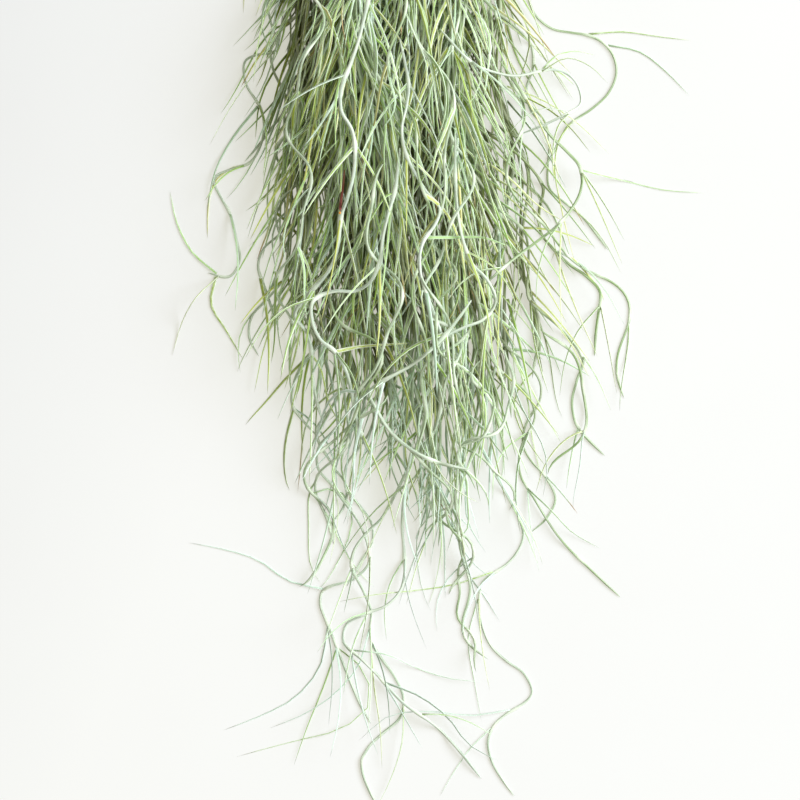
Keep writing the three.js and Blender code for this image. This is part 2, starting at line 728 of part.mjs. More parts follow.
// The course of a seeded strand at the fringe
function fringeStem({ side, head, length, out }, index) {
  const random = seeded(FRINGE_SEED + index);
  const phase = 2 * Math.PI * random();
  const points = [];
  for (let row = 0; row <= FRINGE_ROWS; row += 1) {
    const share = row / FRINGE_ROWS;
    const y = head - share * length;
    const { middle, half } = massAt(y);
    const sway = FRINGE_SWAY * Math.sin((2 * Math.PI * share * length) / FRINGE_SWAY_LENGTH + phase);
    const across = half * FRINGE_START + share * (half * FRINGE_SPREAD + out);
    points.push([middle + side * across + sway, y]);
  }
  return points;
}

// A strand bears its seeded leaves at the joints of its stem
function growStrandLeaves(strand) {
  for (const band of strand.jointBands) {
    const start = Math.floor(strand.random() * band.length);
    for (let leaf = 0; leaf < LEAVES_PER_JOINT; leaf += 1) {
      growLeaf(strand, band, start + (leaf * band.length) / LEAVES_PER_JOINT);
    }
  }
}

// A tress bears them evenly along it and all round it
function growTressLeaves(tress) {
  for (let leaf = 0; leaf < LEAVES_PER_TRESS; leaf += 1) {
    const share = (leaf + 0.5) / LEAVES_PER_TRESS;
    const band = tress.bands[Math.floor(share * tress.bands.length)];
    growLeaf(tress, band, leaf * TRESS_LEAF_TURN);
  }
}

// The stems are laid first, from the lowest up, and then the leaves fill in between. The strands on top
// come last.
function layStrands(places, firstSeed) {
  return places.map((strand, index) => layStrand(strand, firstSeed + index));
}

const tresses = TRESSES.map(layTress);
const fringe = FRINGE.map((place, index) => {
  const name = `strand_fringe_${String(index + 1).padStart(2, '0')}`;
  return { name, stem: fringeStem(place, index), leaves: [] };
});
const strandsAmong = [
  ...layStrands(fringe, FRINGE_STRAND_SEED),
  ...layStrands(STRANDS.filter((strand) => !strand.onTop), STRAND_SEED),
];
strandsAmong.forEach(growStrandLeaves);
tresses.forEach(growTressLeaves);
const strandsOnTop = layStrands(STRANDS.filter((strand) => strand.onTop), TOP_STRAND_SEED);
strandsOnTop.forEach(growStrandLeaves);

function toGeometry(body) {
  const positions = body.corners.flatMap((corner) => corner.toArray());
  const indices = body.facets.flatMap((facet) => facet.corners);
  const geometry = new THREE.BufferGeometry();
  geometry.setAttribute('position', new THREE.Float32BufferAttribute(positions, 3));
  geometry.setIndex(indices);
  geometry.computeVertexNormals();
  return geometry;
}

const tressMaterial = new THREE.MeshStandardMaterial({ color: '#9db07f', roughness: 0.85, metalness: 0 });
const strandMaterial = new THREE.MeshStandardMaterial({ color: '#b4c2a4', roughness: 0.85, metalness: 0 });

const group = new THREE.Group();
for (const tress of tresses) {
  const mesh = new THREE.Mesh(toGeometry(tress.body), tressMaterial);
  mesh.name = tress.name;
  group.add(mesh);
}
for (const strand of [...strandsAmong, ...strandsOnTop]) {
  const mesh = new THREE.Mesh(toGeometry(strand.body), strandMaterial);
  mesh.name = strand.name;
  group.add(mesh);
}

export default group;
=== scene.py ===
# Spanish moss, one picked bunch: a hank of thread-like leafy stems, laid down on a white light table.
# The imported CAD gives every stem, and the leaves that matter to its outline. Here they get their real
# fineness, and the leaves that were too many for solids are added.
import json
import math

import bmesh
import bpy
import numpy as np
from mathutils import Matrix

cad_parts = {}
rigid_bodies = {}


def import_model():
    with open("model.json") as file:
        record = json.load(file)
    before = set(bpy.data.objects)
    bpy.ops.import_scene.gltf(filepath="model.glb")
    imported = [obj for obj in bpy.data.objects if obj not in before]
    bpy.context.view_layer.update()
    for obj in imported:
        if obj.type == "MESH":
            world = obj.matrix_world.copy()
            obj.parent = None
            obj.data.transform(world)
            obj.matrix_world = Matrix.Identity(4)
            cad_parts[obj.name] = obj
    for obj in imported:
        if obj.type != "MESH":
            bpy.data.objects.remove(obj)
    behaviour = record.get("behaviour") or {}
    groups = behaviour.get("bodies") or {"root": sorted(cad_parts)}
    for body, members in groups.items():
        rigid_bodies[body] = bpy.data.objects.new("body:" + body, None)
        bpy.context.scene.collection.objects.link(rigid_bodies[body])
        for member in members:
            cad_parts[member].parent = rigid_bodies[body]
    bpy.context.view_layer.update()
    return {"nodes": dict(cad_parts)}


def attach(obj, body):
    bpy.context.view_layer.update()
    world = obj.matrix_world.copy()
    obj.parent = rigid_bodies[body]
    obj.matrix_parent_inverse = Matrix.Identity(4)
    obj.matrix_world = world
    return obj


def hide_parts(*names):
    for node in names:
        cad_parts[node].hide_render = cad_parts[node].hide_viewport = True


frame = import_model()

scene = bpy.context.scene

# Camera
# A long lens looks straight down on the bunch, as the photograph looks straight at it.
# The photograph's frame is 360 mm wide at the middle of the bunch, and its top is at +Y.
FRAME_WIDTH = 0.360
FRAME_CENTRE = (-0.0169, -0.0416)
FRAME_LEVEL = 0.020
CAMERA_HEIGHT = 4.0
SENSOR_WIDTH = 36.0
FURTHEST_SEEN = 50.0

camera_data = bpy.data.cameras.new("camera")
camera_data.sensor_width = SENSOR_WIDTH
camera_data.lens = SENSOR_WIDTH * (CAMERA_HEIGHT - FRAME_LEVEL) / FRAME_WIDTH
camera_data.clip_end = FURTHEST_SEEN
camera = bpy.data.objects.new("camera", camera_data)
camera.location = (*FRAME_CENTRE, CAMERA_HEIGHT)
scene.collection.objects.link(camera)
scene.camera = camera

# Light table
# The bunch lies on a matt sheet of milky glass, lit faintly from below, which isn't part of the object. It
# shows as the photograph's white wall does, with pale shadows. The glass is a little cloudy. Its glow is
# painted dimmer at the upper left, a painted shadow standing in for the bunch's soft shadow there.
TABLE_SIZE = 8.0
CLOUD_SIZE = 0.080
GLOW = 0.55
# The painted shadow: how dim the glow gets at its darkest, and over what span it fades in
DIMMEST = 0.83
GLOW_BRIGHTER_TOWARD = (1.0, -0.4, 0.0)
DIM_FROM = -0.25
DIM_TO = -0.08


def linear(colour):
    """A hex sRGB colour as linear red, green, blue and alpha."""
    parts = [int(colour[place : place + 2], 16) / 255 for place in (1, 3, 5)]
    return [p / 12.92 if p <= 0.04045 else ((p + 0.055) / 1.055) ** 2.4 for p in parts] + [1.0]


def add_node(tree, kind, settings, links=()):
    """Adds a shader node.

    A setting is an attribute, or an input's name or number. A link is (input, other node, its output).
    """
    made = tree.nodes.new(kind)
    for name, value in settings.items():
        if isinstance(name, str) and hasattr(made, name):
            setattr(made, name, value)
        else:
            made.inputs[name].default_value = value
    for place, other, output in links:
        tree.links.new(other.outputs[output], made.inputs[place])
    return made


def new_material(name):
    """An empty node material, with its tree and its output."""
    material = bpy.data.materials.new(name)
    material.use_nodes = True
    material.node_tree.nodes.clear()
    output = material.node_tree.nodes.new("ShaderNodeOutputMaterial")
    return material, material.node_tree, output


milky_glass, tree, output = new_material("matt milky glass")
places = add_node(tree, "ShaderNodeTexCoord", {})
clouds = add_node(
    tree,
    "ShaderNodeTexNoise",
    {"Scale": 1 / CLOUD_SIZE, "Detail": 3.0},
    [("Vector", places, "Object")],
)
milk = add_node(
    tree,
    "ShaderNodeMix",
    {"data_type": "RGBA", "A": linear("#999ba5"), "B": linear("#9c9fa9")},
    [("Factor", clouds, "Fac")],
)
# Painted shadow: the glow fades towards the upper left, in place of the bunch's soft shadow there
painted_shadow_across = add_node(
    tree,
    "ShaderNodeVectorMath",
    {"operation": "DOT_PRODUCT", 1: GLOW_BRIGHTER_TOWARD},
    [(0, places, "Object")],
)
glow = add_node(
    tree,
    "ShaderNodeMapRange",
    {"From Min": DIM_FROM, "From Max": DIM_TO, "To Min": DIMMEST * GLOW, "To Max": GLOW},
    [("Value", painted_shadow_across, "Value")],
)
surface = add_node(
    tree,
    "ShaderNodeBsdfPrincipled",
    {"Roughness": 0.75, "Emission Color": linear("#fffdee")},
    [("Base Color", milk, "Result"), ("Emission Strength", glow, "Result")],
)
tree.links.new(surface.outputs["BSDF"], output.inputs["Surface"])

half = TABLE_SIZE / 2
table_corners = [(-half, -half, 0), (half, -half, 0), (half, half, 0), (-half, half, 0)]
table_mesh = bpy.data.meshes.new("light_table")
table_mesh.from_pydata(table_corners, [], [(0, 1, 2, 3)])
table_mesh.materials.append(milky_glass)
light_table = bpy.data.objects.new("light_table", table_mesh)
scene.collection.objects.link(light_table)

# Light
# A large soft window light from the right and above, and a white room that fills the shadows,
# as in the photograph, where the right is white and a soft warm shadow lies to the left.
WINDOW_PLACE = (3.6, 1.0, 3.2)
WINDOW_SIZE = 3.4
WINDOW_POWER = 378.0
ROOM_STRENGTH = 0.42

window = bpy.data.lights.new("window", "AREA")
window.shape = "SQUARE"
window.size = WINDOW_SIZE
window.energy = WINDOW_POWER
window.color = linear("#f6faff")[:3]
window_object = bpy.data.objects.new("window", window)
window_object.location = WINDOW_PLACE
toward = -np.array(WINDOW_PLACE)
window_object.rotation_euler = (
    math.acos(-toward[2] / np.linalg.norm(toward)),
    0,
    math.atan2(toward[1], toward[0]) - math.pi / 2,
)
scene.collection.objects.link(window_object)

room = bpy.data.worlds.new("white room")
room.use_nodes = True
room.node_tree.nodes["Background"].inputs["Color"].default_value = linear("#fdf8e2")
room.node_tree.nodes["Background"].inputs["Strength"].default_value = ROOM_STRENGTH
scene.world = room
scene.view_settings.view_transform = "Standard"

# Outline of the mass
# The stems lie together in one mass, thick and dense at the gathered end and thinning out to its tail.
# Nothing but their own tangle holds it. Furrows part it into locks. From here on, lengths are in millimetres.
MM = 0.001
# Seen from above: y, middle x, half width, how densely leaf tips fill it, and its height
MASS = np.array(
    [
        (228, -20, 22, 1.0, 26),
        (183, -20, 46, 1.0, 42),
        (138, -20, 62, 1.0, 52),
        (93, -17, 65, 1.0, 54),
        (48, -12, 67, 0.9, 54),
        (3, -6, 66, 0.7, 50),
        (-42, -2, 62, 0.5, 38),
        (-72, 2, 60, 0.5, 26),
        (-87, 3, 58, 0.5, 20),
        (-109, 2, 54, 0.52, 15),
        (-132, -4, 46, 0.42, 12),
        (-160, -10, 34, 0.18, 8),
    ],
    float,
)[::-1]
MASS_RIM = 6.0
FURROW_DEPTH = 26.0
LOCK_WIDTH = 26.0
LOCK_LENGTH = 110.0
LOCK_BEND = 1.6
LOCK_SHARE = 0.6
BREAK_WIDTH = 1.7 * LOCK_WIDTH
BREAK_LENGTH = 0.6 * LOCK_LENGTH
BREAK_BEND = 2
BREAK_SHARE = 0.4


def mass_at(y):
    """The middle x, half width, density and height of the mass at one y."""
    return [np.interp(y, MASS[:, 0], MASS[:, column]) for column in (1, 2, 3, 4)]


def mass_top(x, y):
    """The height of the mass at one place, where winding furrows run along it between its locks."""
    middle, half_width, _, height = mass_at(y)
    off_middle = (x - middle) / (half_width + MASS_RIM)
    lane = np.sin(2 * math.pi * x / LOCK_WIDTH + LOCK_BEND * np.sin(2 * math.pi * y / LOCK_LENGTH))
    broken = np.sin(2 * math.pi * y / BREAK_LENGTH + BREAK_BEND * np.sin(2 * math.pi * x / BREAK_WIDTH))
    furrow = FURROW_DEPTH * np.clip(LOCK_SHARE * lane + BREAK_SHARE * broken, 0, 1)
    return (height - furrow) * np.sqrt(np.clip(1 - off_middle**2, 0, 1))


# Single strands
# Each is one wiry stem of the plant, 1.2 mm thick, grey with a felt of fine scales. It grew as one piece: a
# leaf sheath clasps it at every joint, and two or three thread-like leaves stand out there.
CORNER_GAP = 1e-6
SHEATH_FROM = 0.86
STEM_STEP = 1.6
# Depths below the top of the mass over which the brown of old growth and the painted shade come in
INNER_FROM = 16.0
INNER_SPAN = 24.0
PATTERN_SHIFT = 37.0
STEM_HALF = 0.62


def skeleton(name, sides, drawn_in):
    """The rings of a CAD node's stem and the middle line of each of its leaves, in millimetres.

    A leaf ends in a corner with three neighbours. The rings of corners follow from there to its root.
    Drawn-in leaves start in the middle of a facet, and their last ring is that facet, not part of the leaf.
    """
    solid = bmesh.new()
    solid.from_mesh(frame["nodes"][name].data)
    bmesh.ops.remove_doubles(solid, verts=solid.verts, dist=CORNER_GAP)
    solid.verts.index_update()
    points = np.array([corner.co for corner in solid.verts]) / MM
    nearby = [{edge.other_vert(corner).index for edge in corner.link_edges} for corner in solid.verts]
    solid.free()

    def rings_from(tip, width, allowed):
        """The rings of so many corners each that follow one another from a tip."""
        rings = [[tip]]
        seen = {tip}
        while True:
            ahead = (set().union(*(nearby[corner] for corner in rings[-1])) & allowed) - seen
            if len(ahead) != width:
                return rings
            rings.append(sorted(ahead))
            seen |= ahead

    everything = set(range(len(points)))
    stem_corners = set(everything)
    leaves = []
    for tip in sorted(everything):
        if len(nearby[tip]) != 3:
            continue
        rings = rings_from(tip, 3, everything)
        own = rings[:-1]
        stem_corners -= set().union(*own)
        line = own if drawn_in else rings
        leaves.append(np.array([points[ring].mean(axis=0) for ring in line])[::-1])
    leaves.sort(key=lambda line: tuple(np.round(line[-1], 1)))
    for tail in sorted(stem_corners):
        if len(nearby[tail] & stem_corners) == sides:
            rings = rings_from(tail, sides, stem_corners)
            if sum(map(len, rings)) == len(stem_corners):
                break
    centres = np.array([points[ring].mean(axis=0) for ring in rings])
    radii = [np.linalg.norm(points[ring] - centre, axis=1).max() for ring, centre in zip(rings, centres)]
    return centres[::-1], np.array(radii)[::-1], leaves


def distances(line):
    """How far along a line each of its points is."""
    return np.concatenate([[0], np.cumsum(np.linalg.norm(np.diff(line, axis=0), axis=1))])


def length_of(line):
    """The length of a line."""
    return np.linalg.norm(np.diff(line, axis=0), axis=1).sum()


def smooth_line(points, count):
    """A smooth curve through points, as count points evenly spaced in length."""
    points = np.asarray(points, float)
    along = distances(points)
    slopes = np.gradient(points, along, axis=0)
    places = np.linspace(0, along[-1], count)
    row = np.clip(np.searchsorted(along, places, side="right") - 1, 0, len(points) - 2)
    gap = (along[row + 1] - along[row])[:, None]
    t = (places - along[row])[:, None] / gap
    start = (2 * t**3 - 3 * t**2 + 1) * points[row] + (t**3 - 2 * t**2 + t) * gap * slopes[row]
    end = (3 * t**2 - 2 * t**3) * points[row + 1] + (t**3 - t**2) * gap * slopes[row + 1]
    return start + end


def unit(vectors):
    """Vectors at length 1."""
    return vectors / np.maximum(np.linalg.norm(vectors, axis=-1, keepdims=True), 1e-9)


def past(values, first, second):
    """How far values are on the way from a first value to a second one, from 0 to 1."""
    return np.clip((values - first) / (second - first), 0, 1)


def sweep(lines, halves, section, facing, ridges, looks):
    """Closed tubes along lines (tube, ring, xyz), each ending in a point.

    The section is drawn at half width 1, with its open side facing that way at the root. Each corner keeps
    how far up a ridge it is, how far along the tube, its place on the skin in millimetres, how deep it lies
    in the mass, and the tube's own looks.
    """
    tubes, rings = lines.shape[:2]
    sides = len(section)
    tangents = unit(np.gradient(lines, axis=1))
    up = np.broadcast_to(facing, (tubes, 3)).astype(float)
    ups = np.empty_like(lines)
    for ring in range(rings):
        tangent = tangents[:, ring]
        up = unit(up - (up * tangent).sum(axis=1, keepdims=True) * tangent)
        ups[:, ring] = up
    aside = section[None, None, :, 0, None] * np.cross(tangents, ups)[:, :, None]
    above = section[None, None, :, 1, None] * ups[:, :, None]
    corners = lines[:, :, None] + halves[:, :, None, None] * (aside + above)
    corners[..., 2] = np.maximum(corners[..., 2], 0)
    lengths = np.linalg.norm(np.diff(lines, axis=1), axis=2)
    along = np.concatenate([np.zeros((tubes, 1)), np.cumsum(lengths, axis=1)], axis=1)
    share = along / along[:, -1:]
    place = np.empty(corners.shape)
    place[..., 0] = along[:, :, None]
    place[..., 1] = np.arange(sides) / sides * 2 * math.pi * STEM_HALF
    place[..., 2] = PATTERN_SHIFT * np.arange(tubes)[:, None, None]
    ridge = np.broadcast_to(ridges, corners.shape[:3]).astype(float)
    # How deep each ring lies in the mass, for the brown of old growth and the painted shade there
    depth = mass_top(lines[..., 0], lines[..., 1]) - lines[..., 2]
    old_growth_and_shade = past(depth, INNER_FROM, INNER_FROM + INNER_SPAN)

    ring_corners = (rings - 1) * sides
    per_tube = ring_corners + 1

    def gather(values):
        """Values of the ring corners and then of the tip, for all the tubes."""
        own = values[:, :-1].reshape(tubes, ring_corners, -1)
        tip = values[:, -1].mean(axis=1).reshape(tubes, 1, -1)
        return np.concatenate([own, tip], axis=1).reshape(tubes * per_tube, -1)

    first = (np.arange(tubes) * per_tube)[:, None, None]
    ring_start = (np.arange(rings - 2) * sides)[None, :, None]
    side = np.arange(sides)[None, None, :]
    after = (side + 1) % sides
    quads = np.stack(
        [
            first + ring_start + side,
            first + ring_start + after,
            first + ring_start + sides + after,
            first + ring_start + sides + side,
        ],
        axis=-1,
    ).reshape(-1, 4)
    last_ring = first[:, :, 0] + ring_corners - sides
    tip_corner = first[:, :, 0] + ring_corners + np.zeros_like(side[0])
    tips = np.stack([last_ring + side[0], last_ring + after[0], tip_corner], axis=-1).reshape(-1, 3)
    caps = (first[:, :, 0] + side[0])[:, ::-1]
    everywhere = np.ones((tubes, rings, sides))
    swept = {
        "corners": gather(corners),
        "faces": quads.tolist() + tips.tolist() + caps.tolist(),
        "place": gather(place),
        "ridge": gather(ridge),
        "share": gather(share[:, :, None] * everywhere),
        "old_growth_and_shade": gather(old_growth_and_shade[:, :, None] * everywhere),
    }
    for key, values in looks.items():
        swept[key] = gather(values[:, None, None] * everywhere)
    return swept


def make_piece(name, parts, materials):
    """One smooth mesh from swept parts, each with the number of its material."""
    mesh = bpy.data.meshes.new(name)
    corners = []
    faces = []
    kinds = []
    shift = 0
    for kind, part in parts:
        corners.append(part["corners"])
        faces += [[corner + shift for corner in face] for face in part["faces"]]
        kinds += [kind] * len(part["faces"])
        shift += len(part["corners"])
    mesh.from_pydata((np.concatenate(corners) * MM).tolist(), [], faces)
    for material in materials:
        mesh.materials.append(material)
    mesh.polygons.foreach_set("material_index", kinds)
    mesh.polygons.foreach_set("use_smooth", [True] * len(faces))
    for key in ("share", "ridge", "shade", "dryness", "scales", "old_growth_and_shade"):
        attribute = mesh.attributes.new(key, "FLOAT", "POINT")
        attribute.data.foreach_set("value", np.concatenate([part[key] for _, part in parts]).ravel())
    attribute = mesh.attributes.new("place", "FLOAT_VECTOR", "POINT")
    attribute.data.foreach_set("vector", np.concatenate([part["place"] for _, part in parts]).ravel())
    mesh.update()
    piece = bpy.data.objects.new(name, mesh)
    scene.collection.objects.link(piece)
    return piece


# The stem is a wiry thread under a close felt of silver scales: matt, and streaked lengthwise where they have
# rubbed off and the green-grey skin shows. They are thickest on its sheaths and along its two margins. A
# scale is about 0.2 mm wide, too fine to show here, so that only the streaks are drawn.
STREAK_LENGTH = 9.0
STREAK_WIDTH = 0.5
MOST_OLD_GROWTH_AND_SHADE = 0.75


def add_old_growth_and_shade(tree, colour):
    """A node that browns a colour deep in the mass, where the old growth gets no light: partly its real
    browning, partly painted shade that darkens the gaps.
    """
    old_growth_and_shade = add_node(tree, "ShaderNodeAttribute", {"attribute_name": "old_growth_and_shade"})
    part = add_node(tree, "ShaderNodeMath", {"operation": "MULTIPLY", 1: MOST_OLD_GROWTH_AND_SHADE}, [(0, old_growth_and_shade, "Fac")])
    # Painted shade and the brown of old growth, deep in the mass
    return add_node(
        tree,
        "ShaderNodeMix",
        {"data_type": "RGBA", "B": linear("#6c6c2e")},
        [("Factor", part, "Value"), ("A", colour, "Result")],
    )


stem_felt, tree, output = new_material("silver scaled stem")
place, shade, ridge = [
    add_node(tree, "ShaderNodeAttribute", {"attribute_name": name}) for name in ("place", "shade", "ridge")
]
drawn_out = add_node(
    tree,
    "ShaderNodeVectorMath",
    {"operation": "MULTIPLY", 1: (1 / STREAK_LENGTH, 1 / STREAK_WIDTH, 1)},
    [(0, place, "Vector")],
)
patches = add_node(
    tree,
    "ShaderNodeTexNoise",
    {"Scale": 1.0, "Detail": 4.0, "Roughness": 0.6},
    [("Vector", drawn_out, "Vector")],
)
felt = add_node(tree, "ShaderNodeValToRGB", {}, [("Fac", patches, "Fac")])
felt.color_ramp.elements[0].position = 0.3
felt.color_ramp.elements[0].color = linear("#8a9d85")
felt.color_ramp.elements[1].position = 0.57
felt.color_ramp.elements[1].color = linear("#d9e4dc")
tinted = add_node(
    tree,
    "ShaderNodeMix",
    {"data_type": "RGBA", "blend_type": "MULTIPLY", "B": linear("#b0c684")},
    [("Factor", shade, "Fac"), ("A", felt, "Color")],
)
sheathed = add_node(
    tree,
    "ShaderNodeMix",
    {"data_type": "RGBA", "B": linear("#e9f2e0")},
    [("Factor", ridge, "Fac"), ("A", tinted, "Result")],
)
grain = add_node(
    tree,
    "ShaderNodeBump",
    {"Strength": 0.35, "Distance": 0.00008},
    [("Height", patches, "Fac")],
)
surface = add_node(
    tree,
    "ShaderNodeBsdfPrincipled",
    {"Roughness": 0.7, "Sheen Weight": 0.25, "Sheen Roughness": 0.5},
    [("Base Color", add_old_growth_and_shade(tree, sheathed), "Result"), ("Normal", grain, "Normal")],
)
tree.links.new(surface.outputs["BSDF"], output.inputs["Surface"])

# The leaf is a green thread with a shallow channel, a little glossier than the stem. Silver scales sit
# thickest on its two margins, so that it shows a green line between two pale ones. They are as fine as the
# stem's, so that only the patches they lie in are drawn. Old leaves dry to tan from the tip.
SCURF_LENGTH = 4.0
SCURF_WIDTH = 0.8
GREENS = [
    (0.0, "#b4d0b6"),
    (0.22, "#a4ca70"),
    (0.45, "#92ba3a"),
    (0.65, "#a4b632"),
    (0.82, "#c1c852"),
    (1.0, "#d8ce7a"),
]

leaf_skin, tree, output = new_material("scurfy green leaf")
place, shade, ridge, share, dryness, scales = [
    add_node(tree, "ShaderNodeAttribute", {"attribute_name": name})
    for name in ("place", "shade", "ridge", "share", "dryness", "scales")
]
skin = add_node(tree, "ShaderNodeValToRGB", {}, [("Fac", shade, "Fac")])
skin.color_ramp.elements[0].color = linear(GREENS[0][1])
skin.color_ramp.elements[1].color = linear(GREENS[-1][1])
for position, colour in GREENS[1:-1]:
    skin.color_ramp.elements.new(position).color = linear(colour)
drawn_out = add_node(
    tree,
    "ShaderNodeVectorMath",
    {"operation": "MULTIPLY", 1: (1 / SCURF_LENGTH, 1 / SCURF_WIDTH, 1)},
    [(0, place, "Vector")],
)
scurf = add_node(
    tree,
    "ShaderNodeTexNoise",
    {"Scale": 1.0, "Detail": 3.0, "Roughness": 0.6},
    [("Vector", drawn_out, "Vector")],
)
scurf_cover = add_node(
    tree,
    "ShaderNodeMapRange",
    {"From Min": 0.4, "From Max": 0.7, "To Min": 0.0, "To Max": 0.8},
    [("Value", scurf, "Fac")],
)
margin = add_node(
    tree,
    "ShaderNodeMapRange",
    {"interpolation_type": "SMOOTHSTEP", "From Min": 0.3, "From Max": 0.8},
    [("Value", ridge, "Fac")],
)
margin_scales = add_node(tree, "ShaderNodeMapRange", {"To Min": 0.5}, [("Value", scales, "Fac")])
margin_cover = add_node(
    tree,
    "ShaderNodeMath",
    {"operation": "MULTIPLY"},
    [(0, margin, "Result"), (1, margin_scales, "Result")],
)
cover = add_node(
    tree,
    "ShaderNodeMath",
    {"operation": "MULTIPLY_ADD", "use_clamp": True},
    [(0, scurf_cover, "Result"), (1, scales, "Fac"), (2, margin_cover, "Value")],
)
silver = add_node(tree, "ShaderNodeValToRGB", {}, [("Fac", shade, "Fac")])
silver.color_ramp.elements[0].color = linear("#e9f6f0")
silver.color_ramp.elements[1].color = linear("#f3fad8")
silvered = add_node(
    tree,
    "ShaderNodeMix",
    {"data_type": "RGBA"},
    [("Factor", cover, "Value"), ("A", skin, "Color"), ("B", silver, "Color")],
)
tip_reach = add_node(tree, "ShaderNodeMath", {"operation": "ADD"}, [(0, share, "Fac"), (1, dryness, "Fac")])
tip_dry = add_node(
    tree,
    "ShaderNodeMapRange",
    {"interpolation_type": "SMOOTHSTEP", "From Min": 1.0, "From Max": 1.25, "To Max": 0.9},
    [("Value", tip_reach, "Value")],
)
dried = add_node(
    tree,
    "ShaderNodeMix",
    {"data_type": "RGBA", "B": linear("#b08a58")},
    [("Factor", tip_dry, "Result"), ("A", silvered, "Result")],
)
grain = add_node(
    tree,
    "ShaderNodeBump",
    {"Strength": 0.3, "Distance": 0.00006},
    [("Height", scurf, "Fac")],
)
surface = add_node(
    tree,
    "ShaderNodeBsdfPrincipled",
    {"Roughness": 0.5, "Sheen Weight": 0.15, "Sheen Roughness": 0.45},
    [("Base Color", add_old_growth_and_shade(tree, dried), "Result"), ("Normal", grain, "Normal")],
)
tree.links.new(surface.outputs["BSDF"], output.inputs["Surface"])

# The stem's tube. Its two margins wind slowly round it, and bear fewer scales on a greener stem.
SHEATH_HALF = 0.9
SHEATH_SPAN = 4.5
STEM_SIDES = 8
STEM_GIRTHS = (0.8, 1.05)
UNEVEN = 0.04
UNEVEN_SPAN = 7
TAPER_LENGTH = 9
THINNEST_END = 0.15
MARGIN_TURN = 90.0
SHEATH_SCALES = 0.6
MARGIN_SCALES = 0.85
FEWER_ON_GREEN = 0.5
UPWARD = np.array([0, 0, 1.0])


def round_section(sides):
    """A circle at half width 1."""
    turns = 2 * math.pi * np.arange(sides) / sides
    return np.column_stack([np.sin(turns), np.cos(turns)])


def sweep_stem(line, joints, shades, stoutness, random):
    """A stem's tube, drawn out to a point at both ends and swollen by the leaf sheath at each joint.

    Joints are distances along it, and its shade is drawn from between two, silver at 0 and green at 1.
    """
    along = distances(line)
    swell = np.zeros(len(line))
    for joint in joints:
        swell = np.maximum(swell, np.exp(-(((along - joint) / SHEATH_SPAN) ** 2) * 2))
    halves = STEM_HALF + (SHEATH_HALF - STEM_HALF) * swell
    halves *= 1 + UNEVEN * np.sin(along / UNEVEN_SPAN + random.uniform(0, 6))
    to_end = np.minimum(along + 1, along[-1] - along)
    halves *= np.clip(to_end / TAPER_LENGTH, THINNEST_END, 1) ** 0.5 * random.uniform(*STEM_GIRTHS)
    halves *= stoutness
    turns = 2 * math.pi * (np.arange(STEM_SIDES) / STEM_SIDES - along[:, None] / MARGIN_TURN)
    margins = np.clip(np.cos(2 * turns), 0, 1)
    shade = random.uniform(*shades, 1)
    ridges = SHEATH_SCALES * swell[:, None] + (MARGIN_SCALES - FEWER_ON_GREEN * shade) * margins
    ridges = np.clip(ridges, 0, 1)
    looks = {"shade": shade, "dryness": np.zeros(1), "scales": np.ones(1)}
    return sweep(line[None], halves[None], round_section(STEM_SIDES), UPWARD, ridges[None], looks)


# The leaf's tube. Half of its width is 1 in the section, and its two margins stand up beside the channel.
LEAF_SECTION = [(-1.0, 0.35), (-0.62, -0.42), (0.0, -0.62), (0.62, -0.42), (1.0, 0.35), (0.0, -0.02)]
LEAF_RIDGES = [1.0, 0.4, 0.1, 0.4, 1.0, 0.0]
LEAF_RINGS = 10
LEAF_HALF = 0.48
LEAF_BASE = 1.4
LEAF_NARROWING = 0.7
LEAF_POINT = 0.02
LEAF_GIRTHS = (0.65, 0.9, 1.45)
FULL_GIRTH = 1.1
FINER = 0.4
# Where they turn finer and more silvery: the x or y at which it begins, and the one at which it is complete
FINER_ACROSS = (10, 50)
FINER_ALONG = (-30, -90)
RIGHT_EDGE = 70
SILVER_ALONG = (10, -80)
SHADE_DRAW = (1.6, 1.9)
SCALES_DRAW = (0.75, 0.6)
YELLOWER_AT_RIGHT = 0.05
GREYER_AT_TAIL = 0.32
# Painted light: more pale scales on the leaves at the right, where the window light falls
PAINTED_LIGHT_AT_RIGHT = 0.18
SCALIER_AT_TAIL = 0.3
DRY_SHARE = 0.05
DRY_REACH = (0.15, 0.5)


def leaf_halves(lines, random):
    """Half widths along leaves, from a broad clasping base to a long fine point.

    Some are stouter, and those at the right and at the tail are finer.
    """
    share = np.linspace(0, 1, lines.shape[1])
    blade = LEAF_HALF * (LEAF_BASE - LEAF_NARROWING * share) * np.sqrt(np.clip(1 - share**4, LEAF_POINT, 1))
    rightward = past(lines[:, :1, 0], *FINER_ACROSS)
    tailward = past(lines[:, :1, 1], *FINER_ALONG)
    fineness = FULL_GIRTH - FINER * np.maximum(rightward, tailward)
    return blade * fineness * random.triangular(*LEAF_GIRTHS, (len(lines), 1))


def leaf_looks(lines, random):
    """Each leaf has its own shade and scales, and one in twenty has begun to dry.

    They are a little yellower at the right of the bunch, and silvery at its tail. Their extra scales at the
    right are painted light, paler on the side that the window lights.
    """
    count = len(lines)
    rightward = np.clip(lines[:, 0, 0] / RIGHT_EDGE, -1, 1)
    tailward = past(lines[:, 0, 1], *SILVER_ALONG)
    shade = random.beta(*SHADE_DRAW, count) + YELLOWER_AT_RIGHT * rightward - GREYER_AT_TAIL * tailward
    dry = random.uniform(0, 1, count) < DRY_SHARE
    dryness = np.where(dry, random.uniform(*DRY_REACH, count), 0.0)
    # The extra scales at the right are painted light, paler where the window light falls
    scales = random.beta(*SCALES_DRAW, count) + PAINTED_LIGHT_AT_RIGHT * rightward + SCALIER_AT_TAIL * tailward
    return {"shade": np.clip(shade, 0, 1), "dryness": dryness, "scales": np.clip(scales, 0, 1)}


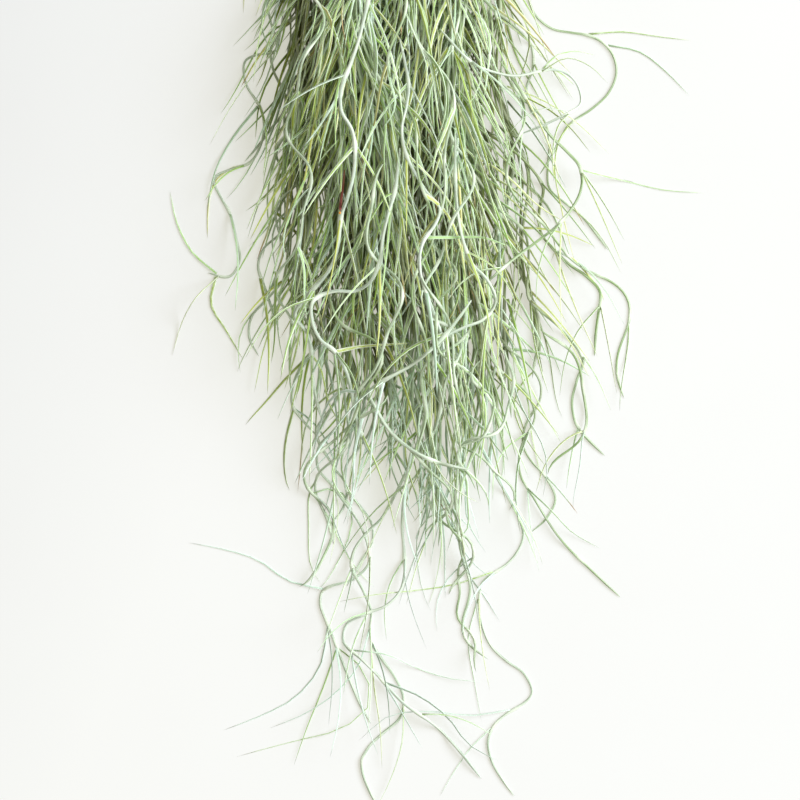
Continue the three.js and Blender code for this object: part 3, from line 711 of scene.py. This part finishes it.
def sweep_leaves(lines, random):
    """The tubes of many leaves, with their channels turned mostly upward."""
    lines = np.array(lines)
    facing = unit(random.normal(size=(len(lines), 3)) + 2 * UPWARD)
    halves = leaf_halves(lines, random)
    looks = leaf_looks(lines, random)
    return sweep(lines, halves, np.array(LEAF_SECTION), facing, np.array(LEAF_RIDGES), looks)


# How the leaves grow that the CAD model leaves out
# They hang with the bunch, keep to its outline and lie under its top. Few of them cross over a stem that
# lies on top, so that those can be seen as in the photograph. Angles are in radians, and the paired values
# are the least and the most of what is drawn at random.
LEAF_LENGTH = (38.0, 68.0)
FRINGE_WIDTH = 30.0
LOWEST_TIP = -200.0
OVER_TOP = 5.0
LOWEST = 0.5
TRIES = 8
SHORTER_EACH_TRY = 0.03
LEAN = (0.15, 0.65)
FLARED_LEAN = (0.5, 1.1)
FLARING = 0.2
FLARING_AT_EDGE = 0.25
FAN_OUT = (0.1, 0.5)
FLARE_OUT = (0.2, 0.9)
FLARE_STRAY = 0.3
SPREAD = 0.2
SPREAD_AT_TAIL = 0.25
CURLINESS = 0.8
CURLINESS_AT_TAIL = 0.9
HANG_RISE = (-0.15, 0.08)
SETTLE = (0.2, 0.8)
WAVES = (0.5, 1.4)
SWING = (0.05, 0.3)
SWING_WAYS = np.array([1, 0.2, 0.5])
CURL_WAYS = np.array([1, 0.4, 0.5])
# The y at which they begin to spread and curl more, and the one at which they do so most
CURLY_ALONG = (0, -80)
# From the left fringe to the right one: the place in half widths, how densely leaf tips fill it, and how much
# more densely at the tail
FILL_PLACES = (-1.3, -0.9, 0.1, 0.5, 1.3)
FILL = np.array([0.6, 1.0, 1.0, 0.42, 0.12])
MORE_AT_TAIL = np.array([0, 0, 0, 0.3, 0.25])
CROSSINGS = 0.35
CELL = 1.5
CELLS = 360
NO_STEM = 1000.0
NOTABLY_OVER = 0.5
LEAF_TURN = 2.4
LEVELLED = 0.5

# The height of the lowest stem that is to be seen, over each small cell
seen_level = np.full((CELLS, CELLS), NO_STEM)


def keep_in_sight(line):
    """Notes that a stem along this line is to be seen."""
    column, row = ((line[:, :2] / CELL) + CELLS / 2).astype(int).T
    for right in (-1, 0, 1):
        for up in (-1, 0, 1):
            np.minimum.at(seen_level, (column + right, row + up), line[:, 2])


def hides_stem(line):
    """Whether a leaf's line passes over a stem that is to be seen."""
    fine = np.concatenate([line[:-1] + (line[1:] - line[:-1]) * part for part in (0, 0.25, 0.5, 0.75)])
    column, row = ((fine[:, :2] / CELL) + CELLS / 2).astype(int).T
    return bool((fine[:, 2] > seen_level[column, row] + NOTABLY_OVER).any())


def grow_leaf(root, tangent, outward, random):
    """The line of a leaf. It leaves its stem at a lean, settles into hanging with the bunch, and wavers."""
    middle, half_width, _, _ = mass_at(root[1])
    fan = np.clip((root[0] - middle) / half_width, -1, 1)
    tailward = past(root[1], *CURLY_ALONG)
    spread = SPREAD + SPREAD_AT_TAIL * tailward
    curliness = CURLINESS + CURLINESS_AT_TAIL * tailward
    fill = FILL + MORE_AT_TAIL * tailward
    share = (np.arange(LEAF_RINGS) * (1 / (LEAF_RINGS - 1)))[:, None]
    needed = random.uniform()
    for attempt in range(TRIES):
        flares = random.uniform() < FLARING + FLARING_AT_EDGE * abs(fan)
        lean = random.uniform(*FLARED_LEAN) if flares else random.uniform(*LEAN)
        length = random.uniform(*LEAF_LENGTH) * (1 - SHORTER_EACH_TRY * attempt)
        aside = math.copysign(abs(fan) ** 2.5, fan) * random.uniform(*FAN_OUT) + random.normal(0, spread)
        if flares:
            aside += math.copysign(random.uniform(*FLARE_OUT), fan + random.normal(0, FLARE_STRAY))
        hang = unit(np.array([aside, -1, random.uniform(*HANG_RISE)]))
        first = unit(tangent * math.cos(lean) + outward * math.sin(lean))
        settle = random.uniform(*SETTLE)
        wave = random.uniform(*WAVES) * 2 * math.pi
        phase = random.uniform(0, 2 * math.pi)
        swing = random.uniform(*SWING) * unit(random.normal(size=3) * SWING_WAYS)
        curl = random.uniform(-1, 1) * curliness * unit(random.normal(size=3) * CURL_WAYS)
        fade = np.exp(-share / settle)
        heading = first * fade + hang * (1 - fade) + swing * np.sin(wave * share + phase) + curl * share**2.5
        steps = np.cumsum(unit(heading)[:-1], axis=0)
        line = root + np.concatenate([np.zeros((1, 3)), steps]) * length * (1 / (LEAF_RINGS - 1))
        line[:, 2] = np.maximum(line[:, 2], LOWEST)
        middle_there, half_there, density, _ = mass_at(line[-1, 1])
        off_middle = line[-1, 0] - middle_there
        if abs(off_middle) > half_there + FRINGE_WIDTH or line[-1, 1] < LOWEST_TIP:
            continue
        density *= np.interp(off_middle / half_there, FILL_PLACES, fill)
        if needed > density or (line[:, 2] > mass_top(line[:, 0], line[:, 1]) + OVER_TOP).any():
            continue
        if hides_stem(line) and random.uniform() > CROSSINGS:
            continue
        return line
    return None


def grow_at_joints(line, joints, counts, random):
    """Leaves at a stem's joints, at most counts of them at each."""
    along = distances(line)
    tangents = unit(np.gradient(line, axis=0))
    leaves = []
    for joint, count in zip(joints, counts):
        ring = min(int(np.searchsorted(along, joint)), len(line) - 1)
        turn = random.uniform(0, 2 * math.pi)
        level = unit(np.cross(tangents[ring], UPWARD))
        raised = np.cross(level, tangents[ring])
        for leaf in range(count):
            angle = turn + leaf * LEAF_TURN
            outward = level * math.cos(angle) + LEVELLED * raised * math.sin(angle)
            grown = grow_leaf(line[ring], tangents[ring], unit(outward), random)
            if grown is not None:
                leaves.append(grown)
    return leaves


# The strands themselves. Each gets the leaves that its joints lack, down to where the tail begins: the tail's
# were all followed. The strands at the right are greener, and those on the front are stouter.
LEAVES_PER_JOINT = 2
AT_JOINT = 4
TAIL_START = -60.0
SILVER_SHADES = (0.0, 0.4)
GREEN_SHADES = (0.6, 1.0)
RIGHT_SIDE = 40.0
FRONT_STOUTNESS = 1.25
ON_TOP = ("strand_front", "strand_hook", "strand_loop")
STRAND_SEED = 400

strands = {}
for name in sorted(frame["nodes"]):
    if name.startswith("strand_"):
        centres, radii, cad_leaves = skeleton(name, sides=4, drawn_in=False)
        places = distances(centres)
        sheaths = places[radii > SHEATH_FROM]
        line = smooth_line(centres, int(places[-1] / STEM_STEP))
        joints = (sheaths[0::2] + sheaths[1::2]) / 2
        strands[name] = (line, joints, cad_leaves)
        if name.startswith(ON_TOP):
            keep_in_sight(line)

for number, (name, (line, joints, cad_leaves)) in enumerate(strands.items()):
    random = np.random.default_rng(STRAND_SEED + number)
    places = np.linspace(0, length_of(line), len(line))
    lacking = []
    for joint in joints:
        ring = int(np.searchsorted(places, joint))
        borne = sum(np.linalg.norm(leaf[0] - line[ring]) < AT_JOINT for leaf in cad_leaves)
        lacking.append(max(LEAVES_PER_JOINT - borne, 0) if line[ring, 1] > TAIL_START else 0)
    leaves = [smooth_line(leaf, LEAF_RINGS) for leaf in cad_leaves]
    leaves += grow_at_joints(line, joints, lacking, random)
    shades = GREEN_SHADES if line[:, 0].mean() > RIGHT_SIDE else SILVER_SHADES
    stoutness = FRONT_STOUTNESS if name.startswith("strand_front") else 1.0
    stem = sweep_stem(line, joints, shades, stoutness, random)
    parts = [(0, stem), (1, sweep_leaves(leaves, random))]
    piece = make_piece(name.replace("strand", "leafy_strand"), parts, [stem_felt, leaf_skin])
    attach(piece, "root")
    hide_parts(name)

# Tresses
# Each is a hank of about ten such stems that have grown through one another, greener where they are shaded.
# Their leaves all hang the same way along the bunch and fan out at its edges, which makes the dense hair-like
# mass. The tresses on top and at the sides also have stems that wander off over the mass in S curves.
STEMS_PER_TRESS = 8
STEMS_AT_RIGHT = 4
OUTER = 0.55
TRESS_SHADES = (0.4, 1.0)
TRESS_STEM_STEP = 3.0
JOINT_GAP = (20.0, 30.0)
FIRST_JOINT_BACK = 12
LAST_JOINT_BACK = 4
BUNDLE_HALF = 6.0
BUNDLE_HEIGHT = 0.7
BUNDLE_TURN = 2.4
TURN_STRAY = (-0.3, 0.3)
TWIST = (-2.0, 2.0)
STEM_SWAY = (1.0, 3.5)
SWAY_HEIGHT = 0.4
STEM_WAVE = (50.0, 110.0)
LONG_STEMS = 5
LONG_STEM_START = (0, 0.04)
OTHER_STEM_START = (0, 0.3)
STEM_END = (0.55, 1.0)
TRESS_SEED = 700
TRESS_LEAF_SEED = 800

# The stems that wander off over the mass, and the loose ends at its tail
FIRST_ON_TOP = 10
WANDERERS = 1
WANDER_FROM = (0.15, 0.75)
WANDER_LENGTH = (90.0, 210.0)
WANDER_WAVE = (60.0, 130.0)
WANDER_SWING = (0.2, 0.7)
OUTWARD_CHANCE = 0.6
OUTWARD_DRIFT = (0.15, 0.5)
DRIFT = (-0.15, 0.15)
LOOSE_ENDS = 1
LOOSE_FROM = (0.7, 0.97)
LOOSE_LENGTH = (60.0, 120.0)
LOOSE_WAVE = (50.0, 100.0)
LOOSE_SWING = (0.3, 0.9)
LOOSE_DRIFT = (-0.45, 0.45)
LOWEST_LOOSE_END = -165.0
RISE = 8.0
RIPPLE = 0.35
RIPPLES_PER_WAVE = 2.3
HUMP = 1.5
HUMPS_PER_WAVE = 0.6
FEWEST_RINGS = 3


def smoothed(values, reach):
    """The running mean of values, over as many as reach to either side."""
    span = 2 * reach + 1
    return np.convolve(np.pad(values, reach, mode="edge"), np.ones(span) / span, mode="valid")


def wandering_stem(start, drift, length, wave, swing, random):
    """A stem that comes up out of the mass at one place and meanders over it, drifting to one side."""
    count = int(length / TRESS_STEM_STEP)
    along = np.arange(count) * TRESS_STEM_STEP
    rate = 2 * math.pi / wave
    phase = random.uniform(0, 2 * math.pi, 2)
    ripple = RIPPLE * np.sin(RIPPLES_PER_WAVE * rate * along + phase[1])
    angle = swing * np.sin(rate * along + phase[0]) + ripple + drift
    x = start[0] + np.cumsum(np.sin(angle)) * TRESS_STEM_STEP
    y = start[1] - np.cumsum(np.cos(angle)) * TRESS_STEM_STEP
    hump = HUMP * np.sin(HUMPS_PER_WAVE * rate * along + phase[1])
    z = smoothed(mass_top(x, y) + hump - RISE * np.exp(-along / RISE), 3)
    middle, half_width, _, _ = mass_at(y)
    inside = (np.abs(x - middle) < half_width + FRINGE_WIDTH) & (y > LOWEST_LOOSE_END)
    kept = len(x) if inside.all() else max(int(np.argmin(inside)), FEWEST_RINGS)
    return np.column_stack([x, y, np.maximum(z, LOWEST)])[:kept]


def bundled_stem(stem, route, across, length, random):
    """One of the stems that a tress is twisted together from.

    It follows the tress's route at its own distance and sways about it. The first few start at the tress's
    own start, and the very first one reaches its end.
    """
    rings = len(route)
    share = np.linspace(0, 1, rings)
    width = np.sin(math.pi * np.clip(share, 0.02, 0.98)) ** 0.5
    turn = BUNDLE_TURN * stem + random.uniform(*TURN_STRAY)
    out = BUNDLE_HALF * math.sqrt((stem + 0.5) / STEMS_PER_TRESS)
    twist = random.uniform(*TWIST)
    wave = 2 * math.pi * length / random.uniform(*STEM_WAVE)
    sway = random.uniform(*STEM_SWAY)
    phase = random.uniform(0, 2 * math.pi, 2)
    winding = turn + twist * share
    aside = out * width * np.cos(winding) + sway * width * np.sin(wave * share + phase[0])
    above = BUNDLE_HEIGHT * out * width * np.sin(winding)
    above = above + SWAY_HEIGHT * sway * width * np.sin(wave * share + phase[1])
    line = route + aside[:, None] * across
    line[:, 2] = np.maximum(line[:, 2] + above, LOWEST)
    begin = int(rings * random.uniform(*(LONG_STEM_START if stem < LONG_STEMS else OTHER_STEM_START)))
    end = rings if stem == 0 else int(rings * random.uniform(*STEM_END))
    return line[begin:end]


tresses = {}
tress_names = sorted(name for name in frame["nodes"] if name.startswith("tress_"))
for number, name in enumerate(tress_names):
    random = np.random.default_rng(TRESS_SEED + number)
    centres, _, cad_leaves = skeleton(name, sides=6, drawn_in=True)
    length = length_of(centres)
    rings = int(length / TRESS_STEM_STEP)
    route = smooth_line(centres, rings)
    across = unit(np.cross(unit(np.gradient(route, axis=0)), UPWARD))
    middle, half_width, _, _ = mass_at(route[rings // 2, 1])
    side = np.clip((route[rings // 2, 0] - middle) / half_width, -1, 1)
    stem_count = STEMS_AT_RIGHT if side > OUTER else STEMS_PER_TRESS
    stems = [bundled_stem(stem, route, across, length, random) for stem in range(stem_count)]
    if number >= FIRST_ON_TOP or abs(side) > OUTER:
        for _ in range(WANDERERS):
            start = route[int(rings * random.uniform(*WANDER_FROM))]
            if abs(side) > OUTER and random.uniform() < OUTWARD_CHANCE:
                drift = math.copysign(random.uniform(*OUTWARD_DRIFT), side)
            else:
                drift = random.uniform(*DRIFT)
            course = [random.uniform(*span) for span in (WANDER_LENGTH, WANDER_WAVE, WANDER_SWING)]
            stems.append(wandering_stem(start, drift, *course, random))
    for _ in range(LOOSE_ENDS):
        start = route[int(rings * random.uniform(*LOOSE_FROM))]
        course = [random.uniform(*span) for span in (LOOSE_LENGTH, LOOSE_WAVE, LOOSE_SWING)]
        stems.append(wandering_stem(start, random.uniform(*LOOSE_DRIFT), *course, random))
    tresses[name] = (stems, cad_leaves)

for number, (name, (stems, cad_leaves)) in enumerate(tresses.items()):
    random = np.random.default_rng(TRESS_LEAF_SEED + number)
    parts = []
    leaves = [smooth_line(leaf, LEAF_RINGS) for leaf in cad_leaves]
    for line in stems:
        length = length_of(line)
        gaps = random.uniform(*JOINT_GAP, int(length / JOINT_GAP[0]) + 1)
        joints = np.cumsum(gaps) - FIRST_JOINT_BACK
        joints = joints[(joints > 0) & (joints < length - LAST_JOINT_BACK)]
        tailward = line[len(line) // 2, 1] < TAIL_START
        leaves += grow_at_joints(line, joints, random.integers(2, 4, len(joints)) + tailward, random)
        parts.append((0, sweep_stem(line, joints, TRESS_SHADES, 1.0, random)))
    parts.append((1, sweep_leaves(leaves, random)))
    piece = make_piece(name.replace("tress", "leafy_tress"), parts, [stem_felt, leaf_skin])
    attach(piece, "root")
    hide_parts(name)

# Dead leaf
# One red-brown dead leaf lies on the front of the mass and ends in a bead of dried orange sap.
# It is drawn as the live ones are, and laid on the highest ones under it.
DEAD_LEAF_COURSE = [(-41.8, 61.9), (-42.4, 55.0), (-43.3, 48.0), (-43.8, 42.1)]
DEAD_LEAF_HALF = 0.7
DEAD_LEAF_TOP = 0.6
DEAD_LEAF_ROOT = 0.4
BEAD_HALF = 0.6
BEAD_SIDES = 10
BEAD_RINGS = 9
BEAD_TOWARD = (0.1, -1.0, 0)
REACH = 1.5
NEAR_ACROSS = 8
NEAR_ALONG = 16
RAISED = 0.5

# The dead leaf has dried to a dull leathery red-brown, darkest from its middle to its tip.
dead_skin, tree, output = new_material("red-brown dead leaf")
share = add_node(tree, "ShaderNodeAttribute", {"attribute_name": "share"})
browned = add_node(tree, "ShaderNodeValToRGB", {}, [("Fac", share, "Fac")])
browned.color_ramp.elements[0].color = linear("#b07a62")
browned.color_ramp.elements[1].color = linear("#7c3f36")
browned.color_ramp.elements[1].position = 0.35
surface = add_node(tree, "ShaderNodeBsdfPrincipled", {"Roughness": 0.6}, [("Base Color", browned, "Color")])
tree.links.new(surface.outputs["BSDF"], output.inputs["Surface"])

# The sap has dried to a hard bead with a soft gloss.
bead_sap, tree, output = new_material("dried orange sap")
surface = add_node(tree, "ShaderNodeBsdfPrincipled", {"Roughness": 0.35, "Base Color": linear("#e0983c")})
tree.links.new(surface.outputs["BSDF"], output.inputs["Surface"])

course = smooth_line([(x, y, 0) for x, y in DEAD_LEAF_COURSE], LEAF_RINGS + 1)
halfway = course[len(course) // 2]
top = []
for skin_piece in scene.collection.objects:
    if skin_piece.name.startswith("leafy_"):
        corners = np.empty(3 * len(skin_piece.data.vertices))
        skin_piece.data.vertices.foreach_get("co", corners)
        corners = corners.reshape(-1, 3) / MM
        near_across = np.abs(corners[:, 0] - course[0, 0]) < NEAR_ACROSS
        near_along = np.abs(corners[:, 1] - halfway[1]) < NEAR_ALONG
        top.append(corners[near_across & near_along])
top = np.concatenate(top)
for ring in course:
    under = np.linalg.norm(top[:, :2] - ring[:2], axis=1) < REACH
    ring[2] = top[under, 2].max() + DEAD_LEAF_HALF
course[:, 2] = smoothed(course[:, 2], 2) + RAISED
looks = {"shade": np.zeros(1), "dryness": np.zeros(1), "scales": np.zeros(1)}
halves = DEAD_LEAF_HALF * np.linspace(DEAD_LEAF_TOP, 1.0, len(course))
halves[0] *= DEAD_LEAF_ROOT
blade = sweep(course[None], halves[None], np.array(LEAF_SECTION), UPWARD, np.array(LEAF_RIDGES), looks)
turns = np.linspace(0.05, math.pi, BEAD_RINGS)
bead_line = course[-1] + np.outer(-np.cos(turns) * BEAD_HALF, BEAD_TOWARD)
bead_halves = np.sin(turns) * BEAD_HALF
bead_section = round_section(BEAD_SIDES)
bead = sweep(bead_line[None], bead_halves[None], bead_section, UPWARD, np.zeros(BEAD_SIDES), looks)
piece = make_piece("dead_leaf", [(0, blade), (1, bead)], [dead_skin, bead_sap])
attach(piece, "root")

# Last, the placements of all the pieces are brought up to date.
bpy.context.view_layer.update()
